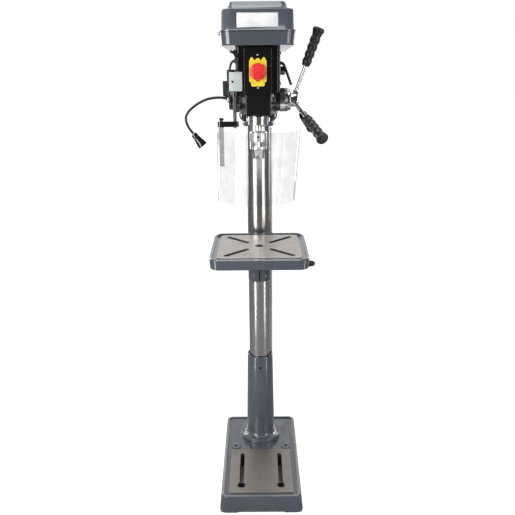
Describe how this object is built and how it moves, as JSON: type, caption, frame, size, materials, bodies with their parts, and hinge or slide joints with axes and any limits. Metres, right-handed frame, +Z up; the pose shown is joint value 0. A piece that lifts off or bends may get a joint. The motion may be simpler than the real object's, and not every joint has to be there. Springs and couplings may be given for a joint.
{
  "type": "drill press",
  "caption": "Floor-standing belt-driven drill press with step pulleys, rack-lift tilting table, three-handle quill feed, clear chuck guard and gooseneck lamp.",
  "frame": {"origin": "on the floor under the centre of the column, on the base's underside", "axes": "+Z up along the column, -Y towards the user and the spindle, +X to the user's right"},
  "size_m": [0.4214, 0.5962, 1.552],
  "materials": {
    "enamel": "glossy dark blue-grey enamel",
    "black_enamel": "glossy black enamel",
    "grip_plastic": "satin black ribbed plastic",
    "ground_steel": "ground and oiled steel",
    "chrome": "bright chrome",
    "pulley_metal": "turned aluminium",
    "belt_rubber": "black belt rubber",
    "lead_sheath": "black cable sheath",
    "yellow_plastic": "yellow switch plastic",
    "red_plastic": "red switch plastic",
    "green_plastic": "green switch plastic",
    "grey_plastic": "light grey plastic",
    "clear_plastic": "clear polycarbonate",
    "lens_plastic": "frosted lens"
  },
  "bodies": {
    "frame": {"base_plate": "enamel", "column_socket": "enamel", "column": "ground_steel", "rack_collar": "enamel", "head_casting": "black_enamel", "switch_housing": "black_enamel", "belt_pan": "enamel", "idler_shaft": "ground_steel", "spring_housing": "black_enamel", "guard_switch_box": "grey_plastic", "lamp_base": "grip_plastic", "gooseneck": "lead_sheath", "lamp_head": "black_enamel", "lamp_lens": "lens_plastic", "guard_lead": "lead_sheath", "lamp_lead": "lead_sheath", "front_belt": "belt_rubber", "rear_belt": "belt_rubber"},
    "rack_body": {"rack": "ground_steel"},
    "collar": {"table_collar": "enamel", "tilt_bolt": "ground_steel"},
    "pinion": {"lift_pinion": "ground_steel"},
    "crank_body": {"crank": "black_enamel"},
    "crank_grip": {"crank_handle": "grip_plastic"},
    "collar_lock": {"collar_lock_lever": "black_enamel"},
    "tilt_arm": {"table_arm": "enamel"},
    "table_body": {"table": "enamel"},
    "quill_body": {"quill": "ground_steel", "quill_bearing": "ground_steel"},
    "spindle_body": {"spindle": "ground_steel", "chuck_body": "chrome"},
    "sleeve": {"chuck_sleeve": "chrome"},
    "jaw_1": {"chuck_jaw_1": "ground_steel"},
    "jaw_2": {"chuck_jaw_2": "ground_steel"},
    "jaw_3": {"chuck_jaw_3": "ground_steel"},
    "feed": {"feed_shaft": "ground_steel", "feed_hub": "chrome", "handle_rod_up": "chrome", "handle_rod_front": "chrome", "handle_rod_back": "chrome", "grip_up": "grip_plastic", "grip_front": "grip_plastic", "grip_back": "grip_plastic"},
    "scale_ring": {"depth_ring": "chrome"},
    "top_pulley": {"spindle_pulley": "pulley_metal"},
    "middle_pulley": {"idler_pulley": "pulley_metal"},
    "motor": {"motor_body": "black_enamel", "motor_fan_cover": "black_enamel", "motor_plate": "black_enamel"},
    "rotor": {"motor_shaft": "ground_steel", "motor_pulley": "pulley_metal"},
    "lever": {"tension_lever": "black_enamel"},
    "lock_knob": {"motor_lock_knob": "black_enamel"},
    "lid": {"belt_lid": "enamel"},
    "flap": {"switch_flap": "yellow_plastic"},
    "stop": {"stop_cap": "red_plastic"},
    "start": {"start_button": "green_plastic"},
    "guard": {"guard_arm": "black_enamel", "guard_strip": "grey_plastic"},
    "shield": {"guard_shield": "clear_plastic"}
  },
  "joints": [
    {"name": "table_swing", "type": "hinge", "parent": "frame", "child": "rack_body", "pos_m": [0, 0, 0.8], "axis": [0, 0, 1], "range_deg": [-180, 180]},
    {"name": "table_lift", "type": "slide", "parent": "rack_body", "child": "collar", "axis": [0, 0, 1], "range_m": [-0.31416, 0.12566]},
    {"name": "lift_pinion_turn", "type": "hinge", "parent": "collar", "child": "pinion", "pos_m": [0.055, 0, 0.7925], "axis": [0, 1, 0], "range_deg": [-600, 1460]},
    {"name": "crank_turn", "type": "hinge", "parent": "collar", "child": "crank_body", "pos_m": [0.104, 0.005, 0.768], "axis": [1, 0, 0], "range_deg": [-14420, 5780]},
    {"name": "crank_handle_spin", "type": "hinge", "parent": "crank_body", "child": "crank_grip", "pos_m": [0.104, 0.06245, 0.71979], "axis": [1, 0, 0], "continuous": true},
    {"name": "collar_lock_turn", "type": "hinge", "parent": "collar", "child": "collar_lock", "pos_m": [-0.068, 0, 0.79], "axis": [0, 1, 0], "range_deg": [0, 60]},
    {"name": "table_tilt", "type": "hinge", "parent": "collar", "child": "tilt_arm", "pos_m": [0, -0.0843, 0.79], "axis": [0, 1, 0], "range_deg": [-45, 45]},
    {"name": "table_turn", "type": "hinge", "parent": "tilt_arm", "child": "table_body", "pos_m": [0, -0.205, 0.8], "axis": [0, 0, 1], "range_deg": [-12, 12]},
    {"name": "quill_feed", "type": "slide", "parent": "frame", "child": "quill_body", "axis": [0, 0, 1], "range_m": [-0.08, 0], "stiffness_N_per_m": 500, "springref_m": 0.2},
    {"name": "feed_turn", "type": "hinge", "parent": "frame", "child": "feed", "pos_m": [0, -0.165, 1.299], "axis": [1, 0, 0], "range_deg": [0, 360]},
    {"name": "depth_ring_turn", "type": "hinge", "parent": "feed", "child": "scale_ring", "pos_m": [0.075, -0.165, 1.299], "axis": [1, 0, 0], "continuous": true},
    {"name": "spindle_pulley_spin", "type": "hinge", "parent": "frame", "child": "top_pulley", "pos_m": [0, -0.205, 1.46], "axis": [0, 0, 1], "continuous": true},
    {"name": "spindle_spin", "type": "hinge", "parent": "quill_body", "child": "spindle_body", "pos_m": [0, -0.205, 1.214], "axis": [0, 0, 1], "continuous": true},
    {"name": "idler_spin", "type": "hinge", "parent": "frame", "child": "middle_pulley", "pos_m": [0, -0.03, 1.46], "axis": [0, 0, 1], "continuous": true},
    {"name": "motor_slide", "type": "slide", "parent": "frame", "child": "motor", "axis": [0, 1, 0], "range_m": [-0.009, 0], "deforming": ["rear_belt"]},
    {"name": "motor_spin", "type": "hinge", "parent": "motor", "child": "rotor", "pos_m": [0, 0.15, 1.46], "axis": [0, 0, 1], "continuous": true},
    {"name": "tension_lever_turn", "type": "hinge", "parent": "frame", "child": "lever", "pos_m": [0.06, -0.06, 1.402], "axis": [1, 0, 0], "range_deg": [-61, 0]},
    {"name": "motor_lock_turn", "type": "hinge", "parent": "frame", "child": "lock_knob", "pos_m": [0.068, -0.02, 1.38], "axis": [1, 0, 0], "range_deg": [0, 180]},
    {"name": "belt_lid_open", "type": "hinge", "parent": "frame", "child": "lid", "pos_m": [-0.106, 0, 1.4772], "axis": [0, -1, 0], "range_deg": [0, 100]},
    {"name": "switch_flap_lift", "type": "hinge", "parent": "frame", "child": "flap", "pos_m": [0, -0.27, 1.412], "axis": [-1, 0, 0], "range_deg": [0, 92]},
    {"name": "stop_press", "type": "slide", "parent": "flap", "child": "stop", "axis": [0, 1, 0], "range_m": [0, 0.003], "stiffness_N_per_m": 600, "springref_m": -0.002},
    {"name": "start_press", "type": "slide", "parent": "frame", "child": "start", "axis": [0, 1, 0], "range_m": [0, 0.003], "stiffness_N_per_m": 600, "springref_m": -0.002},
    {"name": "guard_swing", "type": "hinge", "parent": "frame", "child": "guard", "pos_m": [-0.065, -0.253, 1.2385], "axis": [0, 0, 1], "range_deg": [-70, 0]},
    {"name": "guard_lift", "type": "slide", "parent": "guard", "child": "shield", "axis": [0, 0, 1], "range_m": [-0.025, 0.005]},
    {"name": "chuck_sleeve_turn", "type": "hinge", "parent": "spindle_body", "child": "sleeve", "pos_m": [0, -0.205, 1.176], "axis": [0, 0, 1], "range_deg": [0, 720]},
    {"name": "jaw_1_slide", "type": "slide", "parent": "spindle_body", "child": "jaw_1", "axis": [0, -0.2419, -0.9703], "range_m": [0, 0.0141]},
    {"name": "jaw_2_slide", "type": "slide", "parent": "spindle_body", "child": "jaw_2", "axis": [0.2095, 0.121, -0.9703], "range_m": [0, 0.0141]},
    {"name": "jaw_3_slide", "type": "slide", "parent": "spindle_body", "child": "jaw_3", "axis": [-0.2095, 0.121, -0.9703], "range_m": [0, 0.0141]}
  ],
  "couplings": [
    {"joint": "lift_pinion_turn", "follows": "table_lift", "rad_per_m": -80},
    {"joint": "crank_turn", "follows": "table_lift", "rad_per_m": 800},
    {"joint": "feed_turn", "follows": "quill_feed", "rad_per_m": -78.431},
    {"joint": "spindle_spin", "follows": "spindle_pulley_spin", "ratio": 1},
    {"joint": "idler_spin", "follows": "spindle_pulley_spin", "ratio": 1.0577},
    {"joint": "motor_spin", "follows": "spindle_pulley_spin", "ratio": 0.85429},
    {"joint": "tension_lever_turn", "follows": "motor_slide", "rad_per_m": 116.36},
    {"joint": "jaw_1_slide", "follows": "chuck_sleeve_turn", "m_per_rad": 0.001114},
    {"joint": "jaw_2_slide", "follows": "chuck_sleeve_turn", "m_per_rad": 0.001114},
    {"joint": "jaw_3_slide", "follows": "chuck_sleeve_turn", "m_per_rad": 0.001114}
  ]
}
